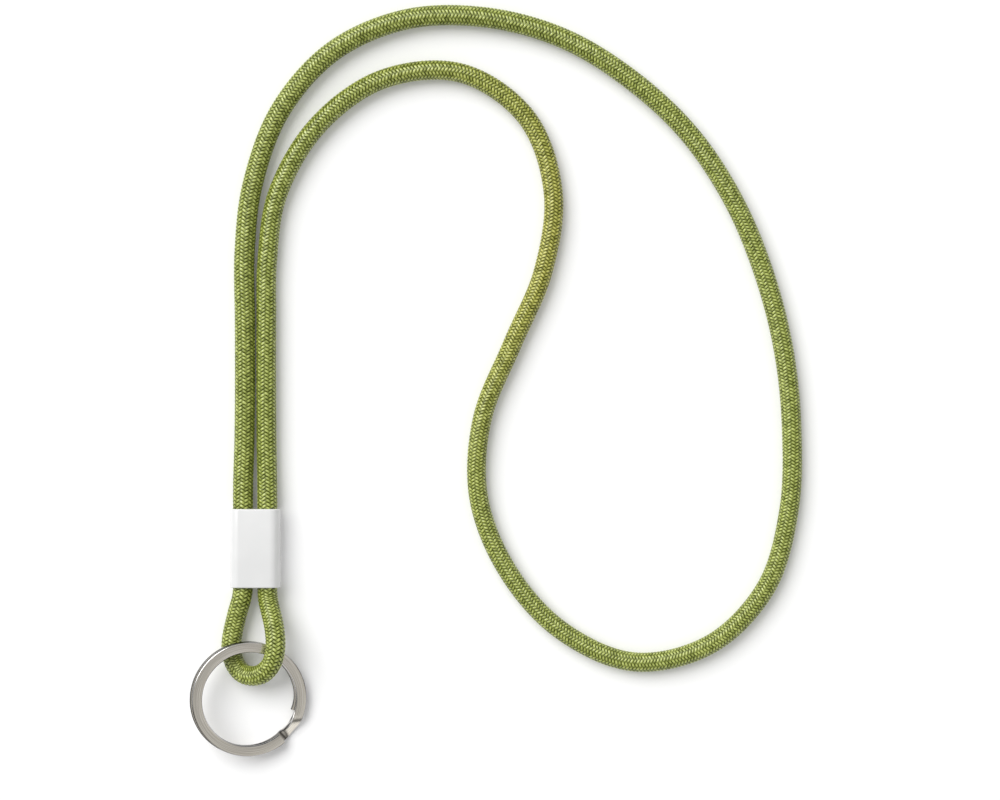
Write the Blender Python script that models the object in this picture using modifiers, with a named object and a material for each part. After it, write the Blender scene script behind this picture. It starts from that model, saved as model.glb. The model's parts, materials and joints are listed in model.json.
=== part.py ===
"""Lanyard: a braided cord looped round the neck, clamped in a white two-part sleeve, with a flat split ring.

Metres, +Z up. The lanyard lies on the plane z = 0. The origin is the centre of the sleeve's underside,
+Y runs along the sleeve to the neck loop and +X across it.
"""

import math

import bmesh
import bpy
from mathutils import Matrix, Vector

MM = 0.001

# Gaps
CLEARANCE = 0.3 * MM  # between pieces that meet
HINGE_CLEARANCE = 0.6 * MM  # between the sleeve and the key loop's ends, which swing past it
FLOOR_GAP = 0.02 * MM  # under whatever lies on the plane

# Cord: a braided sheath over a round core of filler yarns
CORD_DIAMETER = 6.0 * MM
SHEATH_WALL = 1.1 * MM
CORD_SQUEEZE = 0.4 * MM  # how much the clamp takes off the cord's radius
STATION = 12.5 * MM  # between the points of the neck cord's tube
LOOP_STATIONS = 26  # points of the key loop's tube

# Sleeve: two moulded shells with two channels between them
SLEEVE_LENGTH = 24.0 * MM
SIDE_WALL = 0.75 * MM
FACE_WALL = 0.8 * MM
DIVIDER_WALL = 0.8 * MM
SLEEVE_CORNER = 3.2 * MM
SLEEVE_EDGE = 0.5 * MM
MOUTH_LENGTH = 2.4 * MM  # at each end, where the channel holds the cord at its full diameter
SQUEEZE_RAMP = 2.0 * MM  # length over which the cord narrows inside a mouth
RIBS_PER_END = 2
RIB_SPACING = 3.4 * MM
RIB_WIDTH = 1.4 * MM
KEY_LENGTH = 6.0 * MM
KEY_DEPTH = 1.5 * MM
NOTCH_HALF_WIDTH = 1.2 * MM

# Split ring: flat wire wound twice, with a step between the two turns
RING_DIAMETER = 35.0 * MM
RING_WIRE_WIDTH = 3.1 * MM
RING_WIRE_THICKNESS = 1.35 * MM
RING_TURN_GAP = 0.2 * MM
RING_WIRE_EDGE = 0.25 * MM
RING_STEP_START = math.radians(-48.0)
RING_STEP_END = math.radians(-19.0)
RING_END_GAP = math.radians(3.0)  # between a cut end and the step that follows it
RING_SEGMENTS = 48  # in a full turn

# Where the ring lies under the sleeve, and which way it slopes down to the plane
RING_X = -1.8 * MM
RING_TOP_BELOW_HINGE = 12.7 * MM  # its near edge
RING_SLOPE_DIRECTION = math.radians(-20.0)
LOW_CROSSING = (-6.8 * MM, -17.6 * MM)  # x and distance from the hinge where the ring lies on the cord
HIGH_CROSSING = (5.6 * MM, -17.6 * MM)  # the same where the cord lies on the ring

# Worked out from the sizes above
CORD_RADIUS = CORD_DIAMETER / 2
CORE_CAVITY = CORD_RADIUS - SHEATH_WALL
CORE_RADIUS = CORE_CAVITY - CLEARANCE
CLAMPED_RADIUS = CORD_RADIUS - CORD_SQUEEZE
CHANNEL_RADIUS = CORD_RADIUS + CLEARANCE
RIB_RADIUS = CLAMPED_RADIUS + CLEARANCE
CHANNEL_SPACING = 2 * CHANNEL_RADIUS + DIVIDER_WALL
CHANNEL_X = CHANNEL_SPACING / 2
SLEEVE_WIDTH = CHANNEL_SPACING + 2 * CHANNEL_RADIUS + 2 * SIDE_WALL
SLEEVE_THICKNESS = 2 * CHANNEL_RADIUS + 2 * FACE_WALL
CHANNEL_Z = SLEEVE_THICKNESS / 2
MOUTH_Y = SLEEVE_LENGTH / 2
LYING_Z = CORD_RADIUS + FLOOR_GAP
HINGE_Y = -MOUTH_Y - CORD_RADIUS - HINGE_CLEARANCE
RING_CENTRE_RADIUS = (RING_DIAMETER - RING_WIRE_WIDTH) / 2
RING_LAYER_STEP = RING_WIRE_THICKNESS + RING_TURN_GAP
RING_HEIGHT = RING_WIRE_THICKNESS + RING_LAYER_STEP

# The neck loop's route outside the sleeve, in millimetres along X and Y, from the left mouth to the right one
NECK_ROUTE = (
    (-3.7, 21), (-3.4, 31), (-3.2, 46), (-3.2, 70), (-3.3, 90), (-0.9, 110.6), (7.6, 133.4),
    (23.7, 151.5), (45.9, 161.2), (70.2, 161.8), (93.7, 155.5), (114.5, 142.9), (132.3, 126.3),
    (145.8, 106), (155.2, 83.5), (161.2, 59.9), (163.6, 35.6), (162.7, 11.2), (155.8, -12),
    (139, -29.3), (115.6, -34.8), (93.4, -25.3), (77.1, -7.3), (68.1, 15.2), (69.2, 39.4),
    (78.3, 62), (87.8, 84.5), (90.8, 108.6), (82.7, 131.3), (62.9, 144.8), (38.9, 143),
    (19.1, 129), (6.8, 108.1), (3.6, 88), (3.3, 70), (3.3, 46), (3.4, 31), (3.6, 21),
)
NECK_SETTLES = 34.0 * MM  # the strands lie on the plane from here on, and slope up to the mouths before it

# The key loop's route from its left end to its right one: millimetres along X, millimetres from the hinge,
# and how far the cord has risen from lying on the plane (0) to passing over the ring (1)
KEY_LOOP_ROUTE = (
    (-5.3, -3.6, 0.09), (-6.1, -6.7, 0.03), (-6.8, -9.7, 0), (-7.3, -12.8, 0), (-7.3, -15.8, 0),
    (-6.3, -19.6, 0.05), (-3.9, -22.4, 0.22), (-0.9, -23.2, 0.46), (2.3, -22.4, 0.72),
    (5.0, -19.8, 0.94), (6.3, -16.4, 1), (6.6, -12.8, 0.93), (6.3, -9.7, 0.77), (5.7, -6.7, 0.56),
    (4.8, -3.6, 0.34),
)
KEY_LOOP_END_X = (-4.2 * MM, 3.9 * MM)
# The loop's ends are rounded off about the hinge: distances beyond it
ROUNDING_STATIONS = (2.1 * MM, 1.2 * MM)


def clear_scene():
    for obj in list(bpy.data.objects):
        bpy.data.objects.remove(obj, do_unlink=True)


def new_collection(name):
    collection = bpy.data.collections.new(name)
    bpy.context.scene.collection.children.link(collection)
    return collection


def new_material(name, colour, roughness, metallic):
    material = bpy.data.materials.new(name)
    material.use_nodes = True
    shader = material.node_tree.nodes["Principled BSDF"]
    shader.inputs["Base Color"].default_value = (*colour, 1.0)
    shader.inputs["Roughness"].default_value = roughness
    shader.inputs["Metallic"].default_value = metallic
    return material


def new_object(name, data, collection, material=None):
    obj = bpy.data.objects.new(name, data)
    collection.objects.link(obj)
    if material:
        data.materials.append(material)
    return obj


def as_cutter(obj):
    obj.hide_render = True
    obj.display_type = "WIRE"
    return obj


def shade(obj, angle=math.radians(35)):
    obj.data.shade_smooth()
    obj.data.set_sharp_from_angle(angle=angle)


def boolean(obj, operation, other):
    modifier = obj.modifiers.new(f"{operation.lower()} {other.name}", "BOOLEAN")
    modifier.operation = operation
    modifier.solver = "EXACT"
    modifier.object = other


def box(name, low, high, collection):
    """A plain box between two corners."""
    low, high = Vector(low), Vector(high)
    mesh = bpy.data.meshes.new(name)
    bm = bmesh.new()
    bmesh.ops.create_cube(bm, size=1.0)
    size = high - low
    bmesh.ops.scale(bm, vec=size, verts=bm.verts)
    bmesh.ops.translate(bm, vec=(low + high) / 2, verts=bm.verts)
    bm.to_mesh(mesh)
    bm.free()
    return new_object(name, mesh, collection)


# Routes


def smooth_curve(route, steps=16):
    """Points along a centripetal Catmull-Rom curve through the route's points."""
    points = [Vector(p) for p in route]
    points = [2 * points[0] - points[1], *points, 2 * points[-1] - points[-2]]
    dense = []
    for p0, p1, p2, p3 in zip(points, points[1:], points[2:], points[3:]):
        t1 = (p1 - p0).length ** 0.5
        t2 = t1 + (p2 - p1).length ** 0.5
        t3 = t2 + (p3 - p2).length ** 0.5
        for i in range(steps):
            t = t1 + (t2 - t1) * i / steps
            a1 = p0.lerp(p1, t / t1)
            a2 = p1.lerp(p2, (t - t1) / (t2 - t1))
            a3 = p2.lerp(p3, (t - t2) / (t3 - t2))
            b1 = a1.lerp(a2, t / t2)
            b2 = a2.lerp(a3, (t - t1) / (t3 - t1))
            dense.append(b1.lerp(b2, (t - t1) / (t2 - t1)))
    dense.append(points[-2])
    return dense


def evenly_spaced(dense, count):
    """count points at equal distances along a dense line, its two ends included."""
    lengths = [0.0]
    for a, b in zip(dense, dense[1:]):
        lengths.append(lengths[-1] + (b - a).length)
    points = []
    k = 0
    for i in range(count):
        target = lengths[-1] * i / (count - 1)
        while k < len(dense) - 2 and lengths[k + 1] < target:
            k += 1
        share = (target - lengths[k]) / (lengths[k + 1] - lengths[k])
        points.append(dense[k].lerp(dense[k + 1], share))
    return points


def line_length(points):
    return sum((b - a).length for a, b in zip(points, points[1:]))


# Cord


def channel_stations(x):
    """The cord's points in one channel, from its lower mouth to its upper one, with the cord's thickness."""
    squeezed = CLAMPED_RADIUS / CORD_RADIUS
    full_end = MOUTH_Y - MOUTH_LENGTH
    clamped_end = full_end - SQUEEZE_RAMP
    stations = ((MOUTH_Y, 1), (full_end, 1), (clamped_end, squeezed))
    below = [(Vector((x, -y, CHANNEL_Z)), factor) for y, factor in stations]
    above = [(Vector((x, y, CHANNEL_Z)), factor) for y, factor in reversed(stations)]
    return below + above


def neck_cord_stations():
    """Up the left channel, round the neck and down the right channel."""
    left = channel_stations(-CHANNEL_X)
    right = [*reversed(channel_stations(CHANNEL_X))]
    outside = []
    for x, y in NECK_ROUTE:
        x, y = x * MM, y * MM
        settled = min(1.0, max(0.0, (y - MOUTH_Y) / (NECK_SETTLES - MOUTH_Y)))
        near_sleeve = abs(x) < CHANNEL_SPACING and y < NECK_SETTLES
        lift = (1 - settled) ** 2 if near_sleeve else 0.0
        outside.append(Vector((x, y, LYING_Z + lift * (CHANNEL_Z - LYING_Z))))
    dense = smooth_curve([left[-1][0], *outside, right[0][0]])
    count = round(line_length(dense) / STATION)
    return left + [(p, 1) for p in evenly_spaced(dense, count)[1:-1]] + right


def ring_plane():
    """The ring's centre and its axis: it lies on the cord at one side and on the plane at the other."""
    centre = Vector((RING_X, HINGE_Y - RING_TOP_BELOW_HINGE - RING_DIAMETER / 2, 0))
    downhill = Vector((math.cos(RING_SLOPE_DIRECTION), math.sin(RING_SLOPE_DIRECTION), 0))
    crossing = Vector((LOW_CROSSING[0], HINGE_Y + LOW_CROSSING[1], 0))
    run = RING_DIAMETER / 2 - (crossing - centre).dot(downhill)
    rise = CORD_DIAMETER + CLEARANCE
    tilt = math.atan2(rise, run)
    axis = Matrix.Rotation(tilt, 3, Vector((0, 0, 1)).cross(downhill)) @ Vector((0, 0, 1))
    lowest_edge = RING_DIAMETER / 2 * math.sin(tilt) + RING_HEIGHT / 2 * math.cos(tilt)
    centre.z = lowest_edge + FLOOR_GAP
    return centre, axis


def over_ring_z():
    """The height of the cord's centre where it passes over the ring."""
    centre, axis = ring_plane()
    across = Vector((HIGH_CROSSING[0], HINGE_Y + HIGH_CROSSING[1], 0)) - centre
    middle = centre.z - (across.x * axis.x + across.y * axis.y) / axis.z
    return middle + (RING_HEIGHT / 2 + CLEARANCE + CORD_RADIUS) / axis.z


def key_loop_stations():
    """Round the key loop, with both ends rounded off about the hinge."""
    crest = over_ring_z()
    points = []
    for x, y, risen in KEY_LOOP_ROUTE:
        points.append(Vector((x * MM, HINGE_Y + y * MM, LYING_Z + risen * (crest - LYING_Z))))
    start, end = (Vector((x, HINGE_Y, CHANNEL_Z)) for x in KEY_LOOP_END_X)
    body = [(p, 1) for p in evenly_spaced(smooth_curve([start, *points, end]), LOOP_STATIONS)]
    cap = []
    for beyond in ROUNDING_STATIONS:
        factor = math.sqrt(CORD_RADIUS**2 - beyond**2) / CORD_RADIUS
        cap.append((Vector((0, beyond, 0)), factor))
    first = [(start + shift, factor) for shift, factor in cap]
    last = [(end + shift, factor) for shift, factor in reversed(cap)]
    return first + body + last


def tube(name, stations, radius, collection, material=None, overrun=0.0):
    """A closed tube along the stations, as a mesh. overrun lengthens it at both ends."""
    curve = bpy.data.curves.new(name, "CURVE")
    curve.dimensions = "3D"
    curve.bevel_depth = radius
    curve.bevel_resolution = 2
    curve.use_fill_caps = True
    spline = curve.splines.new("POLY")
    spline.points.add(len(stations) - 1)
    places = [p.copy() for p, _ in stations]
    places[0] += (places[0] - places[1]).normalized() * overrun
    places[-1] += (places[-1] - places[-2]).normalized() * overrun
    for point, place, (_, factor) in zip(spline.points, places, stations):
        point.co = (*place, 1.0)
        point.radius = factor
    guide = new_object(f"{name}_curve", curve, collection)
    bpy.context.view_layer.update()
    evaluated = guide.evaluated_get(bpy.context.evaluated_depsgraph_get())
    mesh = bpy.data.meshes.new_from_object(evaluated)
    bpy.data.objects.remove(guide, do_unlink=True)
    bm = bmesh.new()
    bm.from_mesh(mesh)
    bmesh.ops.remove_doubles(bm, verts=bm.verts, dist=0.001 * MM)
    bm.to_mesh(mesh)
    bm.free()
    mesh.name = name
    obj = new_object(name, mesh, collection, material)
    shade(obj, math.radians(60))
    return obj


def sheath_and_core(name, stations, parts, cutters, sheath_material, core_material):
    sheath = tube(f"{name}_sheath", stations, CORD_RADIUS, parts, sheath_material)
    cavity = tube(f"{name}_cavity", stations, CORE_CAVITY, cutters, overrun=2 * CLEARANCE)
    boolean(sheath, "DIFFERENCE", as_cutter(cavity))
    core = tube(f"{name}_core", stations, CORE_RADIUS, parts, core_material)
    return sheath, core


# Sleeve


def rounded_block(name, width, length, height, corner, edge, collection, material):
    """A block standing on z = 0, its four long corners rounded, and then the edges of its two ends."""
    mesh = bpy.data.meshes.new(name)
    bm = bmesh.new()
    bmesh.ops.create_cube(bm, size=1.0)
    bmesh.ops.scale(bm, vec=(width, length, height), verts=bm.verts)
    bmesh.ops.translate(bm, vec=(0, 0, height / 2), verts=bm.verts)
    long_edges = [e for e in bm.edges if abs(e.verts[0].co.y - e.verts[1].co.y) > length / 2]
    bmesh.ops.bevel(bm, geom=long_edges, offset=corner, segments=6, profile=0.5, affect="EDGES")
    on_end = length / 2 * 0.999
    end_edges = [e for e in bm.edges if all(abs(v.co.y) > on_end for v in e.verts)]
    bmesh.ops.bevel(bm, geom=end_edges, offset=edge, segments=2, profile=0.5, affect="EDGES")
    bm.to_mesh(mesh)
    bm.free()
    return new_object(name, mesh, collection, material)


def channel_cutter(name, x, collection):
    """A turned bar along Y, as wide as the cord with its clearance, waisted at each grip rib."""
    reach = MOUTH_Y + 2 * CLEARANCE
    profile = [(0, reach), (CHANNEL_RADIUS, reach)]
    last_rib = MOUTH_Y - MOUTH_LENGTH - SQUEEZE_RAMP - RIB_WIDTH / 2
    ribs = [last_rib - i * RIB_SPACING for i in range(RIBS_PER_END)]
    ribs += [-y for y in reversed(ribs)]
    for y in ribs:
        profile.append((CHANNEL_RADIUS, y + RIB_WIDTH / 2))
        profile.append((RIB_RADIUS, y + RIB_WIDTH / 6))
        profile.append((RIB_RADIUS, y - RIB_WIDTH / 6))
        profile.append((CHANNEL_RADIUS, y - RIB_WIDTH / 2))
    profile += [(CHANNEL_RADIUS, -reach), (0, -reach)]
    mesh = bpy.data.meshes.new(name)
    bm = bmesh.new()
    verts = [bm.verts.new((radius, 0, along)) for radius, along in profile]
    for a, b in zip(verts, verts[1:]):
        bm.edges.new((a, b))
    bm.to_mesh(mesh)
    bm.free()
    obj = new_object(name, mesh, collection)
    screw = obj.modifiers.new("turn", "SCREW")
    screw.steps = screw.render_steps = 20
    screw.use_merge_vertices = True
    screw.merge_threshold = 0.00001
    obj.matrix_world = Matrix.Translation((x, 0, CHANNEL_Z)) @ Matrix.Rotation(-math.pi / 2, 4, "X")
    return as_cutter(obj)


def half_sleeve(name, low_z, high_z, channels, parts, cutters, material):
    shell = rounded_block(
        name, SLEEVE_WIDTH, SLEEVE_LENGTH, SLEEVE_THICKNESS, SLEEVE_CORNER, SLEEVE_EDGE, parts, material
    )
    reach = Vector((SLEEVE_WIDTH, SLEEVE_LENGTH, 0))
    half = box(f"{name}_half", -reach + Vector((0, 0, low_z)), reach + Vector((0, 0, high_z)), cutters)
    boolean(shell, "INTERSECT", as_cutter(half))
    for channel in channels:
        boolean(shell, "DIFFERENCE", channel)
    return shell


def sleeve(parts, cutters, material):
    """Front and back shells that meet at the channels' centre line, keyed together on the divider."""
    channels = [
        channel_cutter("left_channel", -CHANNEL_X, cutters),
        channel_cutter("right_channel", CHANNEL_X, cutters),
    ]
    outside = SLEEVE_THICKNESS
    front_low = CHANNEL_Z + CLEARANCE / 2
    back_high = CHANNEL_Z - CLEARANCE / 2
    front = half_sleeve("sleeve_front_shell", front_low, 2 * outside, channels, parts, cutters, material)
    back = half_sleeve("sleeve_back_shell", -outside, back_high, channels, parts, cutters, material)
    half_key = Vector((DIVIDER_WALL / 2, KEY_LENGTH / 2, 0))
    key_low = Vector((0, 0, back_high - KEY_DEPTH))
    key_high = Vector((0, 0, front_low + KEY_DEPTH / 2))
    key = box("locating_key", -half_key + key_low, half_key + key_high, cutters)
    boolean(front, "UNION", as_cutter(key))
    half_notch = Vector((NOTCH_HALF_WIDTH, KEY_LENGTH / 2 + CLEARANCE, 0))
    notch_low = key_low - Vector((0, 0, CLEARANCE))
    notch_high = Vector((0, 0, CHANNEL_Z + CLEARANCE))
    notch = box("key_notch", -half_notch + notch_low, half_notch + notch_high, cutters)
    boolean(back, "DIFFERENCE", as_cutter(notch))
    for shell in (front, back):
        shade(shell)


# Split ring


def ring_wire_points():
    """The wire's centre line about the origin: a low turn, a step up, and a high turn over it."""
    start = RING_STEP_END + RING_END_GAP
    step_start = RING_STEP_START + 2 * math.pi
    step_end = RING_STEP_END + 2 * math.pi
    end = step_start - RING_END_GAP + 2 * math.pi
    count = round(RING_SEGMENTS * (end - start) / (2 * math.pi))
    points = []
    for i in range(count + 1):
        angle = start + (end - start) * i / count
        share = min(1.0, max(0.0, (angle - step_start) / (step_end - step_start)))
        layer = share * share * (3 - 2 * share) - 0.5
        x = RING_CENTRE_RADIUS * math.cos(angle)
        y = RING_CENTRE_RADIUS * math.sin(angle)
        points.append(Vector((x, y, layer * RING_LAYER_STEP)))
    return points


def wire_section(collection):
    """The wire's section: flat, with small chamfers."""
    half_width, half_height = RING_WIRE_WIDTH / 2, RING_WIRE_THICKNESS / 2
    curve = bpy.data.curves.new("wire_section", "CURVE")
    curve.dimensions = "2D"
    spline = curve.splines.new("POLY")
    corners = []
    for sx, sy in ((1, 1), (-1, 1), (-1, -1), (1, -1)):
        pair = [
            (sx * half_width, sy * (half_height - RING_WIRE_EDGE)),
            (sx * (half_width - RING_WIRE_EDGE), sy * half_height),
        ]
        corners += pair if sx * sy > 0 else reversed(pair)
    spline.points.add(len(corners) - 1)
    for point, (x, y) in zip(spline.points, reversed(corners)):
        point.co = (x, y, 0, 1)
    spline.use_cyclic_u = True
    return as_cutter(new_object("wire_section", curve, collection))


def split_ring(parts, cutters, material):
    curve = bpy.data.curves.new("split_ring", "CURVE")
    curve.dimensions = "3D"
    curve.twist_mode = "Z_UP"
    curve.bevel_mode = "OBJECT"
    curve.bevel_object = wire_section(cutters)
    curve.use_fill_caps = True
    points = ring_wire_points()
    spline = curve.splines.new("POLY")
    spline.points.add(len(points) - 1)
    for point, place in zip(spline.points, points):
        point.co = (*place, 1.0)
    ring = new_object("split_ring", curve, parts, material)
    centre, axis = ring_plane()
    upright = Vector((0, 0, 1)).rotation_difference(axis).to_matrix().to_4x4()
    ring.matrix_world = Matrix.Translation(centre) @ upright
    return ring


def main():
    clear_scene()
    parts = new_collection("lanyard")
    cutters = new_collection("cutters")
    olive = new_material("olive_braid", (0.28, 0.32, 0.12), 0.7, 0.0)
    filler = new_material("filler_yarn", (0.75, 0.74, 0.68), 0.8, 0.0)
    white = new_material("white_plastic", (0.85, 0.85, 0.84), 0.25, 0.0)
    steel = new_material("nickel_plate", (0.62, 0.6, 0.56), 0.3, 1.0)
    sheath_and_core("neck_cord", neck_cord_stations(), parts, cutters, olive, filler)
    loop = sheath_and_core("key_loop", key_loop_stations(), parts, cutters, olive, filler)
    hinge = new_object("key_loop_hinge", None, parts)
    hinge.location = (0, HINGE_Y, CHANNEL_Z)
    ring = split_ring(parts, cutters, steel)
    bpy.context.view_layer.update()
    for moving in (*loop, ring):
        place = moving.matrix_world.copy()
        moving.parent = hinge
        moving.matrix_parent_inverse = hinge.matrix_world.inverted()
        moving.matrix_world = place
    sleeve(parts, cutters, white)


main()
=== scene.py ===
"""Looks of the lanyard: braided cord, gloss white sleeve, brushed and polished split ring."""

import json
import math

import bmesh
import bpy
import numpy as np
from mathutils import Matrix, Vector


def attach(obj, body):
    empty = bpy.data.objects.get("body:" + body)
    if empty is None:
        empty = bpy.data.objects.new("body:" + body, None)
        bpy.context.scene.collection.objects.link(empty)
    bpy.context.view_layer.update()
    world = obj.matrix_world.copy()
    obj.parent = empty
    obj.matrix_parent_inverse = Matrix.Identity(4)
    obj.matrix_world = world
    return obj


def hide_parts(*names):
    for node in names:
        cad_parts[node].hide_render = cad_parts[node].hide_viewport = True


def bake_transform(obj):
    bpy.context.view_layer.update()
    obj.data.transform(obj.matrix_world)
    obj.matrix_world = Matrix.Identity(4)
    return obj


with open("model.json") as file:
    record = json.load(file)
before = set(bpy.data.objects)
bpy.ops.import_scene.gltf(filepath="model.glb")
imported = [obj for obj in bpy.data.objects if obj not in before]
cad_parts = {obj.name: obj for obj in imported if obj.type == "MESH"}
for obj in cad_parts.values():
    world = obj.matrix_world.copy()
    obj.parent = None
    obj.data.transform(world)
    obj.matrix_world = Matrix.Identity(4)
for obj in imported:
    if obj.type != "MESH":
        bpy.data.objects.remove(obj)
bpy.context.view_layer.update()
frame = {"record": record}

MM = 0.001

# Sizes that the pieces share with the CAD parts
CORD_DIAMETER = 6.0 * MM
CHANNEL_X = 3.7 * MM
CHANNEL_Z = 4.1 * MM
CHANNEL_RADIUS = 3.3 * MM
SLEEVE_WIDTH = 15.5 * MM
SLEEVE_HEIGHT = 8.2 * MM
SLEEVE_CORNER = 3.2 * MM
MOUTH_Y = 12.0 * MM
FLOOR_GAP = 0.02 * MM
HINGE_Y = -15.6 * MM
LYING_Z = CORD_DIAMETER / 2 + FLOOR_GAP
OVER_RING_Z = 9.73 * MM  # the cord's middle line where it passes over the ring
NECK_SETTLES = 34.0 * MM  # from here on the neck cord lies on the floor
STRANDS_APART = 7.4 * MM  # the two strands by the sleeve are nearer to its middle than this

# Sizes that only the looks have
NECK_RADIUS = 3.05 * MM
NECK_RADIUS_CHANGE = 0.11 * MM  # added at THICKEST_AT, and taken off half the way on
THICKEST_AT = 0.15  # of the neck cord's length
KEY_LOOP_RADIUS = 3.06 * MM
SEAM = 0.1 * MM  # the line where the two shells meet
END_ROUNDING = 0.42 * MM  # of the sleeve's outer edges at its mouths
MOUTH_LIP = 0.2 * MM  # how much wider a channel is at its very mouth

# Braid: 28 yarns, so 14 columns of floats round the cord, each float over two crossing yarns
WALES = 14
ROW_PITCH = 1.07 * MM
PITCH_CHANGE = 0.057  # the braid is this share looser near the sleeve, and tighter half way round
YARN_RELIEF = 0.42 * MM  # from the groove between two floats to the crown of a float
AROUND_WALE = 3  # mesh points across a wale
PER_ROW = 6  # mesh points along a row
FLOAT_SLOPE = 0.46  # how far a float climbs along the cord, in rows, while it crosses its wale
WARM_PLACE = 0.72  # the dye is yellower in one stretch, at this share of the cord's length
WARM_SPREAD = 0.06  # half the stretch, as a share of the cord's length
INTERLOCK = 0.3  # how far the line between two wales swings to each side, in wales
LINE_STEP = 0.25 * MM  # between the points of the cord's middle line
CROWN_POWER = 0.3  # less than 1 makes a float's crown broad and its groove narrow
EDGE_CROWN = 0.55  # the crown's height on the line between two wales
TWISTS = ((0.35, 0.21, 1.0), (0.5, 0.57, 0.0))  # slow waves: radians, metres to a wave, its start
FLOAT_SWELL = 0.012  # a pale float is this share thicker than a dark one
NEXT_WALE = 7  # how many yarns on the next wale starts

# Tones are drawn at random once. Each yarn and each float takes one of them, by these numbers
YARN_DRAWS = 97
YARN_TONES = 31
FLOAT_TONES = 8191
YARN_STRIDE = 53
WALE_STRIDE = 911

# The neck loop's route outside the sleeve, in millimetres along X and Y, from the left channel to the right
NECK_ROUTE = (
    (-3.7, 21), (-3.4, 31), (-3.2, 46), (-3.2, 70), (-3.3, 90), (-0.9, 110.6), (7.6, 133.4),
    (23.7, 151.5), (45.9, 161.2), (70.2, 161.8), (93.7, 155.5), (114.5, 142.9), (132.3, 126.3),
    (145.8, 106), (155.2, 83.5), (161.2, 59.9), (163.6, 35.6), (162.7, 11.2), (155.8, -12),
    (139, -29.3), (115.6, -34.8), (93.4, -25.3), (77.1, -7.3), (68.1, 15.2), (69.2, 39.4),
    (78.3, 62), (87.8, 84.5), (90.8, 108.6), (82.7, 131.3), (62.9, 144.8), (38.9, 143),
    (19.1, 129), (6.8, 108.1), (3.6, 88), (3.3, 70), (3.3, 46), (3.4, 31), (3.6, 21),
)

# The key loop's route from its left end to its right one: millimetres along X, millimetres from the hinge,
# and how far the cord has risen from lying on the floor (0) to passing over the ring (1)
KEY_LOOP_ROUTE = (
    (-5.3, -3.6, 0.09), (-6.1, -6.7, 0.03), (-6.8, -9.7, 0), (-7.3, -12.8, 0), (-7.3, -15.8, 0),
    (-6.3, -19.6, 0.05), (-3.9, -22.4, 0.22), (-0.9, -23.2, 0.46), (2.3, -22.4, 0.72),
    (5.0, -19.8, 0.94), (6.3, -16.4, 1), (6.6, -12.8, 0.93), (6.3, -9.7, 0.77), (5.7, -6.7, 0.56),
    (4.8, -3.6, 0.34),
)
KEY_LOOP_END_X = (-4.2 * MM, 3.9 * MM)  # where its two ends cross the hinge

# Light: the key is a wide soft source from the upper left, and a share of the light comes from all round
KEY = 2.6
KEY_HEIGHT = 46.0  # degrees above the floor
KEY_SPREAD = 52.0  # degrees across
KEY_HEADING = (0.707, -0.707)  # towards the lower right of the picture
AMBIENT = 0.53
# Height above the horizon as a share of straight up, and brightness
SKY = ((0.0, 1.5), (0.12, 1.5), (0.2, 0.36), (0.42, 0.36), (0.6, 1.25), (0.82, 1.3), (0.93, 0.95))
FLOOR_GLOW = 0.07  # the floor is a white table that gives a little light itself
FLOOR_HALF_WIDTH = 3.0  # metres

CAMERA_PLACE = (74.6 * MM, 45.1 * MM, 0.903)
CAMERA_LENS = 106.2


# Scene helpers


def new_object(name, data):
    obj = bpy.data.objects.new(name, data)
    bpy.context.scene.collection.objects.link(obj)
    return obj


def mesh_object(name, bm, material):
    mesh = bpy.data.meshes.new(name)
    bm.to_mesh(mesh)
    bm.free()
    mesh.materials.append(material)
    return new_object(name, mesh)


def smooth_curve(route, steps=24):
    """Points along a centripetal Catmull-Rom curve through the route's points."""
    points = [np.array(p, float) for p in route]
    points = [2 * points[0] - points[1], *points, 2 * points[-1] - points[-2]]
    dense = []
    for p0, p1, p2, p3 in zip(points, points[1:], points[2:], points[3:]):
        t1 = np.linalg.norm(p1 - p0) ** 0.5
        t2 = t1 + np.linalg.norm(p2 - p1) ** 0.5
        t3 = t2 + np.linalg.norm(p3 - p2) ** 0.5
        for i in range(steps):
            t = t1 + (t2 - t1) * i / steps
            a1 = p0 + (p1 - p0) * t / t1
            a2 = p1 + (p2 - p1) * (t - t1) / (t2 - t1)
            a3 = p2 + (p3 - p2) * (t - t2) / (t3 - t2)
            b1 = a1 + (a2 - a1) * t / t2
            b2 = a2 + (a3 - a2) * (t - t1) / (t3 - t1)
            dense.append(b1 + (b2 - b1) * (t - t1) / (t2 - t1))
    dense.append(points[-2])
    return np.array(dense)


def even_line(dense, step):
    """The same line with points step apart, and how far along it each one is."""
    along = np.concatenate([[0], np.cumsum(np.linalg.norm(np.diff(dense, axis=0), axis=1))])
    at = np.linspace(0, along[-1], round(along[-1] / step) + 1)
    return np.stack([np.interp(at, along, dense[:, k]) for k in range(3)], axis=1), at


def moving_frames(line):
    """The tangent and two side vectors along a line, turning as little as possible."""
    tangents = np.gradient(line, axis=0)
    tangents /= np.linalg.norm(tangents, axis=1)[:, None]
    side = np.cross(tangents[0], (0, 0, 1.0))
    sides = []
    for t in tangents:
        side = side - t * np.dot(side, t)
        side /= np.linalg.norm(side)
        sides.append(side)
    sides = np.array(sides)
    return tangents, sides, np.cross(tangents, sides)


# Camera, floor and light


def look_down():
    """Straight down on the lanyard as it lies, +Y up in the picture."""
    camera = bpy.data.cameras.new("camera")
    camera.sensor_width = 36
    camera.lens = CAMERA_LENS
    obj = new_object("camera", camera)
    obj.location = CAMERA_PLACE
    bpy.context.scene.camera = obj


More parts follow.
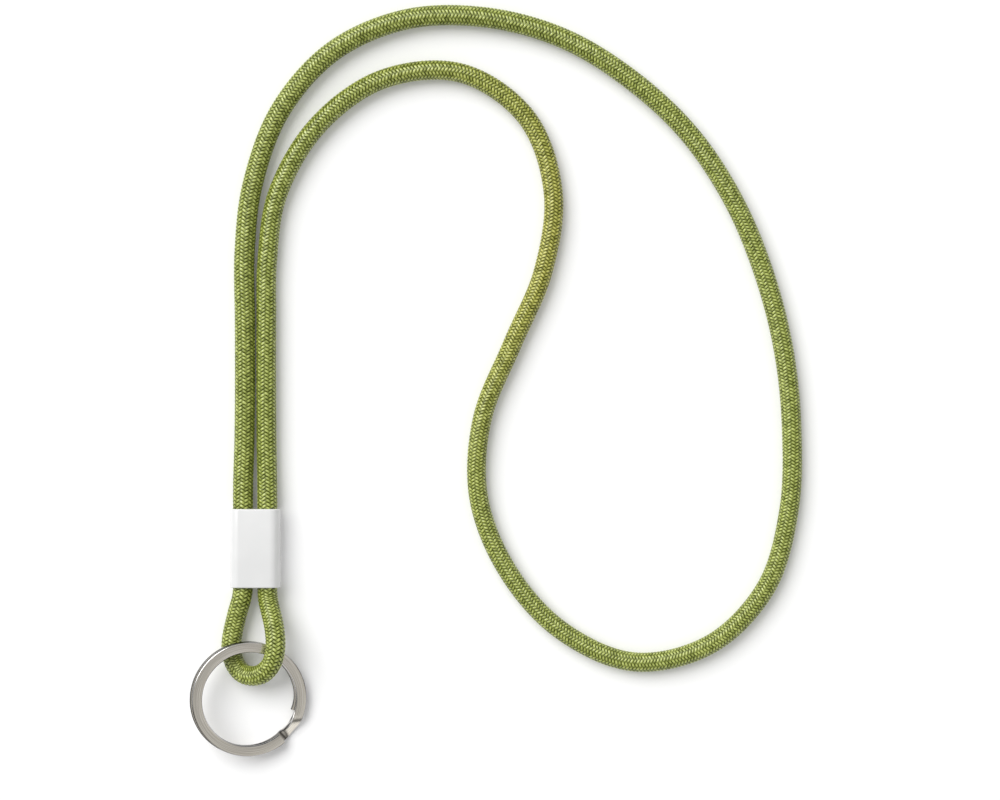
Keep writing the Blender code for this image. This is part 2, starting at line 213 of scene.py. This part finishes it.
def sky(tree):
    """A studio's surroundings: pale at the horizon, then a dark band, bright softboxes and grey overhead."""
    direction = tree.nodes.new("ShaderNodeTexCoord")
    parts = tree.nodes.new("ShaderNodeSeparateXYZ")
    tree.links.new(direction.outputs["Generated"], parts.inputs[0])
    ramp = tree.nodes.new("ShaderNodeValToRGB")
    elements = ramp.color_ramp.elements
    while len(elements) < len(SKY):
        elements.new(0.5)
    for element, (place, level) in zip(elements, SKY):
        element.position = place
        element.color = (level, level, level, 1)
    tree.links.new(parts.outputs["Z"], ramp.inputs["Fac"])
    tree.links.new(ramp.outputs["Color"], tree.nodes["Background"].inputs["Color"])
    tree.nodes["Background"].inputs["Strength"].default_value = AMBIENT


def floor_and_light():
    bm = bmesh.new()
    bmesh.ops.create_grid(bm, x_segments=1, y_segments=1, size=FLOOR_HALF_WIDTH)
    floor = mesh_object("floor", bm, floor_material())
    key = bpy.data.lights.new("key", "SUN")
    key.energy = KEY
    key.angle = math.radians(KEY_SPREAD)
    obj = new_object("key", key)
    obj.location = (-0.55, 0.75, 1.2)
    aim = Vector((*KEY_HEADING, -math.tan(math.radians(KEY_HEIGHT))))
    obj.rotation_euler = aim.to_track_quat("-Z", "Y").to_euler()
    world = bpy.data.worlds.new("studio")
    world.use_nodes = True
    sky(world.node_tree)
    bpy.context.scene.world = world
    bpy.context.scene.view_settings.view_transform = "Standard"


# Materials


class Nodes:
    """Short calls for building a material's node tree."""

    def __init__(self, name):
        self.material = bpy.data.materials.new(name)
        self.material.use_nodes = True
        self.tree = self.material.node_tree
        self.shader = self.tree.nodes["Principled BSDF"]

    def add(self, kind, **settings):
        node = self.tree.nodes.new(kind)
        for key, value in settings.items():
            setattr(node, key, value)
        return node

    def link(self, source, target):
        self.tree.links.new(source, target)

    def put(self, target, value):
        if hasattr(value, "links"):
            self.link(value, target)
        else:
            target.default_value = value

    def math(self, operation, *values):
        node = self.add("ShaderNodeMath", operation=operation)
        for socket, value in zip(node.inputs, values):
            self.put(socket, value)
        return node.outputs[0]

    def attribute(self, name):
        return self.add("ShaderNodeAttribute", attribute_name=name).outputs["Fac"]

    def noise(self, scale, detail=2.0, vector=None):
        node = self.add("ShaderNodeTexNoise")
        node.inputs["Scale"].default_value = scale
        node.inputs["Detail"].default_value = detail
        if vector is None:
            vector = self.add("ShaderNodeTexCoord").outputs["Object"]
        self.link(vector, node.inputs["Vector"])
        return node.outputs["Fac"]

    def ramp(self, factor, stops):
        node = self.add("ShaderNodeValToRGB")
        elements = node.color_ramp.elements
        while len(elements) < len(stops):
            elements.new(0.5)
        for element, (place, colour) in zip(elements, stops):
            element.position = place
            element.color = (*colour, 1)
        self.link(factor, node.inputs["Fac"])
        return node.outputs["Color"]

    def mix(self, factor, a, b):
        node = self.add("ShaderNodeMix", data_type="RGBA")
        self.put(node.inputs["Factor"], factor)
        for socket, value in zip((node.inputs[6], node.inputs[7]), (a, b)):
            self.put(socket, value)
        return node.outputs[2]

    def bump(self, height, distance, strength=1.0):
        node = self.add("ShaderNodeBump")
        node.inputs["Distance"].default_value = distance
        node.inputs["Strength"].default_value = strength
        self.link(height, node.inputs["Height"])
        self.link(node.outputs["Normal"], self.shader.inputs["Normal"])

    def set(self, **values):
        for key, value in values.items():
            self.put(self.shader.inputs[key.replace("_", " ")], value)
        return self.material


def floor_material():
    m = Nodes("floor")
    dimmer, brighter = (0.89, 0.89, 0.89), (0.92, 0.92, 0.92)
    tone = m.ramp(m.noise(2.0), ((0.0, dimmer), (1.0, brighter)))
    m.link(tone, m.shader.inputs["Base Color"])
    return m.set(Roughness=0.9, Emission_Color=(1, 1, 1, 1), Emission_Strength=FLOOR_GLOW)


def braid_material():
    """Filament yarn: colour with painted shade, near black in the grooves between floats and bright on the
    crowns, with fine filaments in each float.
    """
    m = Nodes("olive_braid")
    round_the_cord, along_the_cord = 1.5, 9.0
    filament_contrast, float_contrast = 0.5, 0.3
    sheen, sheen_power = 1.15, 3.0
    crown = m.attribute("crown")
    tone = m.attribute("tone")
    place = m.add("ShaderNodeUVMap", uv_map="braid").outputs["UV"]
    parts = m.add("ShaderNodeSeparateXYZ")
    m.link(place, parts.inputs[0])
    stripes = m.add("ShaderNodeCombineXYZ")
    m.put(stripes.inputs["X"], m.math("MULTIPLY", parts.outputs["X"], round_the_cord))
    m.put(stripes.inputs["Y"], m.math("MULTIPLY", parts.outputs["Y"], along_the_cord))
    filaments = m.noise(1.0, 2.0, stripes.outputs[0])
    filament_share = m.math("MULTIPLY", m.math("SUBTRACT", filaments, 0.5), filament_contrast)
    float_share = m.math("MULTIPLY", m.math("SUBTRACT", tone, 0.5), float_contrast)
    level = m.math("ADD", m.math("ADD", crown, filament_share), float_share)
    # Painted shade: the colour falls to near black in the grooves between floats and rises to the yarn's
    # olive on the crowns
    colour = m.ramp(
        level,
        (
            (0.1, (0.010, 0.012, 0.002)),
            (0.5, (0.065, 0.080, 0.011)),
            (0.8, (0.225, 0.268, 0.042)),
            (1.0, (0.47, 0.535, 0.11)),
        ),
    )
    warm = m.add("ShaderNodeMix", data_type="RGBA", blend_type="MULTIPLY")
    warm.inputs[7].default_value = (1.22, 1.04, 0.86, 1)
    m.link(m.attribute("warmth"), warm.inputs["Factor"])
    m.link(colour, warm.inputs[6])
    m.link(warm.outputs[2], m.shader.inputs["Base Color"])
    m.bump(filaments, 0.04 * MM, 0.6)
    shine = m.math("MULTIPLY", m.math("POWER", level, sheen_power), sheen)
    m.put(m.shader.inputs["Specular IOR Level"], shine)
    return m.set(Roughness=0.34)


def plastic_material():
    """Moulded plastic, nearly even in colour, with a gloss that varies a little."""
    m = Nodes("white_plastic")
    dimmer, brighter = (0.705, 0.71, 0.705), (0.785, 0.785, 0.78)
    smoothest, scuffing = 0.18, 0.08
    tone = m.ramp(m.noise(90.0), ((0.1, dimmer), (0.9, brighter)))
    m.link(tone, m.shader.inputs["Base Color"])
    scuffs = m.math("MULTIPLY_ADD", m.noise(220.0), scuffing, smoothest)
    m.link(scuffs, m.shader.inputs["Roughness"])
    m.bump(m.noise(260.0, 1.0), 0.02 * MM, 0.12)
    return m.set(Coat_Weight=0.2)


def ring_material(name, low, high, along, across, roughness, relief):
    """Nickel plate with streaks along the wire, from the section's UV map, mixed towards near black where
    the wire takes painted shade. With low near black and high near white, as on the polished edges, the
    streaks are painted dark reflections and glints.
    """
    m = Nodes(name)
    painted_crevice_shade_colour = (0.02, 0.018, 0.015, 1)
    place = m.add("ShaderNodeUVMap", uv_map="wire").outputs["UV"]
    parts = m.add("ShaderNodeSeparateXYZ")
    m.link(place, parts.inputs[0])
    drawn = m.add("ShaderNodeCombineXYZ")
    m.put(drawn.inputs["X"], m.math("MULTIPLY", parts.outputs["X"], along))
    m.put(drawn.inputs["Y"], m.math("MULTIPLY", parts.outputs["Y"], across))
    streaks = m.noise(1.0, 3.0, drawn.outputs[0])
    plate = m.ramp(streaks, ((0.4, low), (0.6, high)))
    # Painted shade: the painted shade attribute mixes the plate towards near black in the corner below the
    # upper end and towards the gap between the turns
    m.link(m.mix(m.attribute("painted_crevice_shade"), plate, painted_crevice_shade_colour), m.shader.inputs["Base Color"])
    rough = m.math("MULTIPLY_ADD", streaks, roughness, roughness / 2)
    m.link(rough, m.shader.inputs["Roughness"])
    m.bump(streaks, relief, 0.5)
    return m.set(Metallic=1.0)


# Cord


def braid(name, route, radius_at, material, warm_share):
    """The braided sheath along a route: every float of every yarn raised from the surface, ends closed.

    Rows of floats run in zigzags round the cord, rising over one wale and falling over the next by
    FLOAT_SLOPE of a row. A float in a falling wale lies half a row off its neighbours, because the
    yarns interlace.
    """
    line, at = even_line(route, LINE_STEP)
    length = at[-1]
    _, sides, ups = moving_frames(line)
    looseness = 1 + PITCH_CHANGE * np.cos(2 * math.pi * at / length)
    row_at = np.concatenate([[0], np.cumsum(LINE_STEP / (ROW_PITCH * looseness[1:]))])
    count = int((row_at[-1] - FLOAT_SLOPE) * PER_ROW)
    around = WALES * AROUND_WALE
    i = np.arange(count + 1)[:, None]
    j = np.arange(around)[None, :]
    wale = j // AROUND_WALE
    across = (j % AROUND_WALE) / AROUND_WALE
    falling = wale % 2
    zigzag = FLOAT_SLOPE * np.where(falling == 1, 1 - across, across)
    row = i / PER_ROW + zigzag
    s = np.interp(row, row_at, at)
    half_row_off = i + np.where(falling == 1, PER_ROW // 2, 0)
    phase = half_row_off % PER_ROW / PER_ROW
    crown = np.sin(math.pi * phase) ** CROWN_POWER
    crown = np.where(across == 0, EDGE_CROWN, crown * np.ones_like(zigzag))
    drift = sum(most * np.sin(2 * math.pi * s / wave + begin) for most, wave, begin in TWISTS)
    turn = np.cos(2 * math.pi * i / PER_ROW) * np.where(falling == 1, -1, 1)
    reach = np.where(across == 0, INTERLOCK * turn, 0)
    angle = 2 * math.pi * (j / around + reach / WALES) + drift
    yarn = (np.floor(half_row_off / PER_ROW) + NEXT_WALE * wale).astype(int)
    dice = np.random.default_rng(5)
    yarn_tone = dice.random(YARN_DRAWS)
    float_tone = dice.random(FLOAT_TONES)
    this_float = (yarn * YARN_STRIDE + wale * WALE_STRIDE) % FLOAT_TONES
    tone = 0.5 * yarn_tone[yarn % YARN_TONES] + 0.5 * float_tone[this_float]
    swell = 1 + FLOAT_SWELL * (tone - 0.5)
    radius = radius_at(s / length) * swell - YARN_RELIEF * (1 - crown)
    centre = np.stack([np.interp(s, at, line[:, k]) for k in range(3)], axis=-1)
    side = np.stack([np.interp(s, at, sides[:, k]) for k in range(3)], axis=-1)
    up = np.stack([np.interp(s, at, ups[:, k]) for k in range(3)], axis=-1)
    outward = np.cos(angle)[..., None] * side + np.sin(angle)[..., None] * up
    grid = centre + radius[..., None] * outward
    points = np.concatenate([grid.reshape(-1, 3), centre[0].mean(0)[None], centre[-1].mean(0)[None]])
    a = np.arange(count)[:, None] * around + j
    b = np.arange(count)[:, None] * around + (j + 1) % around
    quads = np.stack([a, b, b + around, a + around], axis=-1).reshape(-1, 4)
    first, last = len(points) - 2, len(points) - 1
    top = count * around
    caps = [(first, (k + 1) % around, k) for k in range(around)]
    caps += [(last, top + k, top + (k + 1) % around) for k in range(around)]
    mesh = bpy.data.meshes.new(name)
    mesh.from_pydata(points.tolist(), [], quads.tolist() + caps)
    mesh.update()
    warmth = warm_share * np.exp(-(((s / length - WARM_PLACE) / WARM_SPREAD) ** 2))
    for label, values in (("crown", crown), ("tone", tone), ("warmth", warmth)):
        layer = mesh.attributes.new(label, "FLOAT", "POINT")
        full = np.concatenate([values.reshape(-1), [0, 0]]).astype(np.float32)
        layer.data.foreach_set("value", full)
    uv = mesh.uv_layers.new(name="braid")
    u_low = (np.zeros_like(a) + j).astype(np.float32)
    v_low = (np.arange(count)[:, None] + np.zeros_like(j)).astype(np.float32) / PER_ROW
    v_high = v_low + 1 / PER_ROW
    corners = [(u_low, v_low), (u_low + 1, v_low), (u_low + 1, v_high), (u_low, v_high)]
    flat = np.stack([np.stack([u / AROUND_WALE, v], axis=-1) for u, v in corners], axis=2).reshape(-1)
    full = np.zeros(len(mesh.loops) * 2, np.float32)
    full[: len(flat)] = flat
    uv.data.foreach_set("uv", full)
    mesh.materials.append(material)
    mesh.shade_smooth()
    return new_object(name, mesh), line


def neck_radius(share):
    """The cord's radius, a little thicker at one place on its way and thinner at another."""
    return NECK_RADIUS + NECK_RADIUS_CHANGE * np.cos(2 * math.pi * (share - THICKEST_AT))


def neck_route():
    """From the sleeve's middle up the left channel, round the loop and down the right channel."""
    outside = []
    for x, y in NECK_ROUTE:
        x, y = x * MM, y * MM
        settled = min(1.0, max(0.0, (y - MOUTH_Y) / (NECK_SETTLES - MOUTH_Y)))
        near_sleeve = abs(x) < STRANDS_APART and y < NECK_SETTLES
        lift = (1 - settled) ** 2 if near_sleeve else 0.0
        outside.append((x, y, LYING_Z + lift * (CHANNEL_Z - LYING_Z)))
    left = [(-CHANNEL_X, y, CHANNEL_Z) for y in (0, MOUTH_Y / 2, MOUTH_Y)]
    right = [(CHANNEL_X, y, CHANNEL_Z) for y in (MOUTH_Y, MOUTH_Y / 2, 0)]
    dense, at = even_line(smooth_curve([*left, *outside, *right]), 1.0 * MM)
    dense[:, 2] = np.maximum(dense[:, 2], neck_radius(at / at[-1]) + FLOOR_GAP)
    return dense


def key_loop_radius(share):
    return np.full_like(share, KEY_LOOP_RADIUS)


def key_loop_route():
    """From the sleeve's middle down the left channel, round the loop and up the right channel."""
    rise = OVER_RING_Z - LYING_Z
    middle = [(x * MM, HINGE_Y + y * MM, LYING_Z + z * rise) for x, y, z in KEY_LOOP_ROUTE]
    start_x, end_x = KEY_LOOP_END_X
    left = [(-CHANNEL_X, y, CHANNEL_Z) for y in (0, -MOUTH_Y / 2, -MOUTH_Y)]
    right = [(CHANNEL_X, y, CHANNEL_Z) for y in (-MOUTH_Y, -MOUTH_Y / 2, 0)]
    hinge_left, hinge_right = (start_x, HINGE_Y, CHANNEL_Z), (end_x, HINGE_Y, CHANNEL_Z)
    dense, _ = even_line(smooth_curve([*left, hinge_left, *middle, hinge_right, *right]), 0.5 * MM)
    dense[:, 2] = np.maximum(dense[:, 2], KEY_LOOP_RADIUS + FLOOR_GAP)
    return dense


def cords():
    material = braid_material()
    neck, path = braid("neck_cord", neck_route(), neck_radius, material, 1.0)
    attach(neck, "sleeve")
    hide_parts("neck_cord_sheath", "neck_cord_core")
    loop, path = braid("key_loop_cord", key_loop_route(), key_loop_radius, material, 0.0)
    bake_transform(loop)
    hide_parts("key_loop_sheath", "key_loop_core")


# Sleeve

CORNER_STEPS = 20
CHANNEL_STEPS = 32
ROUNDING_STEPS = 5


def arc(centre_x, centre_z, radius, start, end, steps):
    """Points of an arc in the sleeve's section, by angles in degrees from +X."""
    angles = [math.radians(start + (end - start) * i / steps) for i in range(steps + 1)]
    return [(centre_x + radius * math.cos(a), centre_z + radius * math.sin(a)) for a in angles]


def front_section(edge, lip):
    """The front shell's outline across the sleeve, edge in from the outside, lip out from the channels."""
    half_width = SLEEVE_WIDTH / 2 - edge
    top = SLEEVE_HEIGHT - edge
    corner = SLEEVE_CORNER - edge
    bore = CHANNEL_RADIUS + lip
    low = CHANNEL_Z + SEAM / 2
    turn = math.degrees(math.asin(SEAM / 2 / bore))
    points = [(half_width, low)]
    points += arc(half_width - corner, top - corner, corner, 0, 90, CORNER_STEPS)
    points += arc(corner - half_width, top - corner, corner, 90, 180, CORNER_STEPS)
    points += [(-half_width, low)]
    points += arc(-CHANNEL_X, CHANNEL_Z, bore, 180 - turn, turn, CHANNEL_STEPS)
    points += arc(CHANNEL_X, CHANNEL_Z, bore, 180 - turn, turn, CHANNEL_STEPS)
    return points


def sleeve_shell(name, node, front, material):
    """One half of the sleeve: its section carried along the sleeve, with rounded edges at both mouths."""
    rounding = [math.pi / 2 * i / ROUNDING_STEPS for i in range(ROUNDING_STEPS + 1)]
    ends = [(MOUTH_Y - (1 - math.sin(a)) * END_ROUNDING, 1 - math.cos(a)) for a in rounding]
    stations = [(-y, cut) for y, cut in reversed(ends)] + ends
    bm = bmesh.new()
    loops = []
    for y, cut in stations:
        section = front_section(cut * END_ROUNDING, cut * MOUTH_LIP)
        if not front:
            section = [(x, 2 * CHANNEL_Z - z) for x, z in reversed(section)]
        loops.append([bm.verts.new((x, y, z)) for x, z in section])
    for before, after in zip(loops, loops[1:]):
        for k in range(len(before)):
            following = (k + 1) % len(before)
            bm.faces.new((before[k], after[k], after[following], before[following]))
    bm.faces.new(loops[0])
    bm.faces.new(reversed(loops[-1]))
    bmesh.ops.recalc_face_normals(bm, faces=bm.faces)
    shell = mesh_object(name, bm, material)
    shell.data.shade_smooth()
    shell.data.set_sharp_from_angle(angle=math.radians(30))
    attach(shell, "sleeve")
    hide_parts(node)


# Split ring

RING_OUTER = 17.5 * MM
WIRE_WIDTH = 3.1 * MM
WIRE_THICKNESS = 1.35 * MM
LAYER_STEP = 1.55 * MM
STEP_START = math.radians(-48.0)
STEP_END = math.radians(-19.0)
END_GAP = math.radians(3.0)
RING_PER_TURN = 240
STEP_ROLL = math.radians(38)  # where the wire steps up it is rolled, its inner edge high
WIRE_EDGE = 0.22 * MM
TURN_SHIFT = 0.45 * MM  # the lower turn lies this much to the left of the upper one
END_INWARD = 0.5 * MM  # the lower end springs in further from the other turn
INWARD_OVER = math.radians(30)
ROLL_POWER = 0.8  # less than 1 brings the roll's peak nearer to the lower turn
CREVICE_SHADE_SPREAD = math.radians(2.0)  # width of the painted shade in the corner below the upper end
GAP_PAINTED_SHADE = 2.2  # painted shade on the wire's side walls, towards the gap between the two turns


def wire_section(corner, segments=4):
    """Points round the wire's section, a rectangle with rounded corners."""
    half_width, half_height = WIRE_WIDTH / 2, WIRE_THICKNESS / 2
    points = []
    for cx, cy, start in (
        (half_width - corner, half_height - corner, 0.0),
        (-half_width + corner, half_height - corner, 0.5),
        (-half_width + corner, -half_height + corner, 1.0),
        (half_width - corner, -half_height + corner, 1.5),
    ):
        for k in range(segments + 1):
            angle = math.pi * (start + 0.5 * k / segments)
            points.append((cx + corner * math.cos(angle), cy + corner * math.sin(angle)))
    return points


def share_of_step(angle, start, end):
    return min(1.0, max(0.0, (angle - start) / (end - start)))


def split_ring(face, edge):
    """One flat wire wound twice, one turn above the other, with the step up between them."""
    joint = next(j for j in frame["record"]["behaviour"]["joints"] if j["name"] == "split_ring_turn")
    centre, axis = Vector(joint["pos_m"]), Vector(joint["axis"])
    place = Matrix.Translation(centre) @ Vector((0, 0, 1)).rotation_difference(axis).to_matrix().to_4x4()
    start = STEP_END + END_GAP
    step_start, step_end = STEP_START + 2 * math.pi, STEP_END + 2 * math.pi
    end = step_start - END_GAP + 2 * math.pi
    count = round(RING_PER_TURN * (end - start) / (2 * math.pi))
    section = wire_section(WIRE_EDGE)
    n = len(section)
    mid_radius = RING_OUTER - WIRE_WIDTH / 2
    bm = bmesh.new()
    uv = bm.loops.layers.uv.new("wire")
    painted_crevice_shade = bm.verts.layers.float.new("painted_crevice_shade")
    rings = []
    for i in range(count + 1):
        angle = start + (end - start) * i / count
        share = share_of_step(angle, step_start, step_end)
        risen = share * share * (3 - 2 * share)
        height = (risen - 0.5) * LAYER_STEP
        roll = STEP_ROLL * math.sin(math.pi * share**ROLL_POWER)
        inward = END_INWARD * max(0.0, 1 - (angle - start) / INWARD_OVER) ** 2
        inward += TURN_SHIFT * math.cos(angle) * (1 - risen)
        ring = []
        for across, up in section:
            r = mid_radius - inward + across * math.cos(roll) + up * math.sin(roll)
            z = height + up * math.cos(roll) - across * math.sin(roll)
            point = place @ Vector((r * math.cos(angle), r * math.sin(angle), z))
            ring.append(bm.verts.new(point))
            # Painted shade: near-black colour in the corner below the upper end, and on the side walls
            # towards the gap between the two turns
            towards_gap = max(0.0, up * (1 - 2 * risen)) / (WIRE_THICKNESS / 2)
            on_wall = max(0.0, 1 - (WIRE_WIDTH / 2 - abs(across)) / WIRE_EDGE)
            shade_below_end = math.exp(-(((angle - step_start) / CREVICE_SHADE_SPREAD) ** 2))
            ring[-1][painted_crevice_shade] = min(1.0, max(shade_below_end, GAP_PAINTED_SHADE * towards_gap * on_wall))
        rings.append(ring)
    round_section = [0.0]
    for k in range(n):
        a, b = section[k], section[(k + 1) % n]
        round_section.append(round_section[-1] + math.dist(a, b))
    for i in range(count):
        for k in range(n):
            after = (k + 1) % n
            quad = bm.faces.new((rings[i][k], rings[i][after], rings[i + 1][after], rings[i + 1][k]))
            flat = abs(section[k][1] - section[after][1]) < 1e-7
            quad.material_index = 0 if flat else 1
            quad.smooth = True
            along = (i / RING_PER_TURN, (i + 1) / RING_PER_TURN)
            round_it = (round_section[k] / WIRE_WIDTH, round_section[k + 1] / WIRE_WIDTH)
            corners = ((0, 0), (0, 1), (1, 1), (1, 0))
            for loop, (a, b) in zip(quad.loops, corners):
                loop[uv].uv = (along[a], round_it[b])
    for ring in (rings[0][::-1], rings[-1]):
        cap = bm.faces.new(ring)
        cap.material_index = 1
    bmesh.ops.recalc_face_normals(bm, faces=bm.faces)
    obj = mesh_object("split_ring_wire", bm, face)
    obj.data.materials.append(edge)
    obj.data.set_sharp_from_angle(angle=math.radians(40))
    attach(obj, "split_ring")
    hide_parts("split_ring")


# The pieces

look_down()
floor_and_light()
cords()
plastic = plastic_material()
sleeve_shell("front_shell", "sleeve_front_shell", True, plastic)
sleeve_shell("back_shell", "sleeve_back_shell", False, plastic)
brushed_face = ring_material(
    "brushed_face", low=(0.63, 0.59, 0.515), high=(0.80, 0.76, 0.68),
    along=7, across=16, roughness=0.17, relief=0.004 * MM,
)
# Painted reflections: the polished walls' colour swings in streaks from near black to near white, for the
# dark and bright surroundings they mirror
polished_edge_painted_reflections = ring_material(
    "polished_edge_painted_reflections", low=(0.015, 0.015, 0.013), high=(0.97, 0.95, 0.92),
    along=4, across=3.0, roughness=0.1, relief=0.002 * MM,
)
split_ring(brushed_face, polished_edge_painted_reflections)
